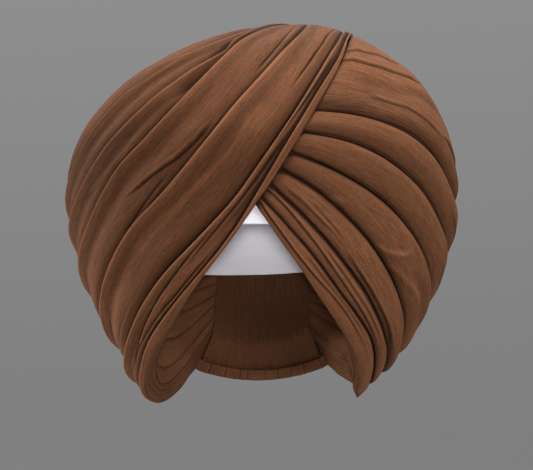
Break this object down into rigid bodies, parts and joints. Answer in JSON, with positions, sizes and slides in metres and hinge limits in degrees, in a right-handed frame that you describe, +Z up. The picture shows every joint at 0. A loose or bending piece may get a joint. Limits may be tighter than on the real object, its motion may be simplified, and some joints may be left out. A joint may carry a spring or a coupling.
{
  "type": "tied turban pagri",
  "caption": "Tied turban of brown cotton: diagonal folds from both sides cross above the forehead, over a white under-cap, open below for the head.",
  "frame": {"origin": "middle of the head hollow at brow level, where the turban sits on a head; z = 0 is the lower edge of the white cap at the forehead", "axes": "+Z up, along the head; the front faces -Y; +X is the viewer's right in the picture"},
  "size_m": [0.2896, 0.2796, 0.2816],
  "materials": {
    "turban_cloth": "matte",
    "cap_cloth": "matte"
  },
  "bodies": {
    "root": {"left_wrap_1": "turban_cloth", "left_wrap_2": "turban_cloth", "left_wrap_3": "turban_cloth", "left_wrap_4": "turban_cloth", "left_wrap_5": "turban_cloth", "front_band": "turban_cloth", "front_pleat": "turban_cloth", "right_wrap_1": "turban_cloth", "right_wrap_2": "turban_cloth", "right_wrap_3": "turban_cloth", "right_wrap_4": "turban_cloth", "right_wrap_5": "turban_cloth", "right_wrap_6": "turban_cloth", "right_wrap_7": "turban_cloth", "back_winding": "turban_cloth", "crown_cover": "turban_cloth", "under_cap": "cap_cloth"}
  },
  "joints": []
}
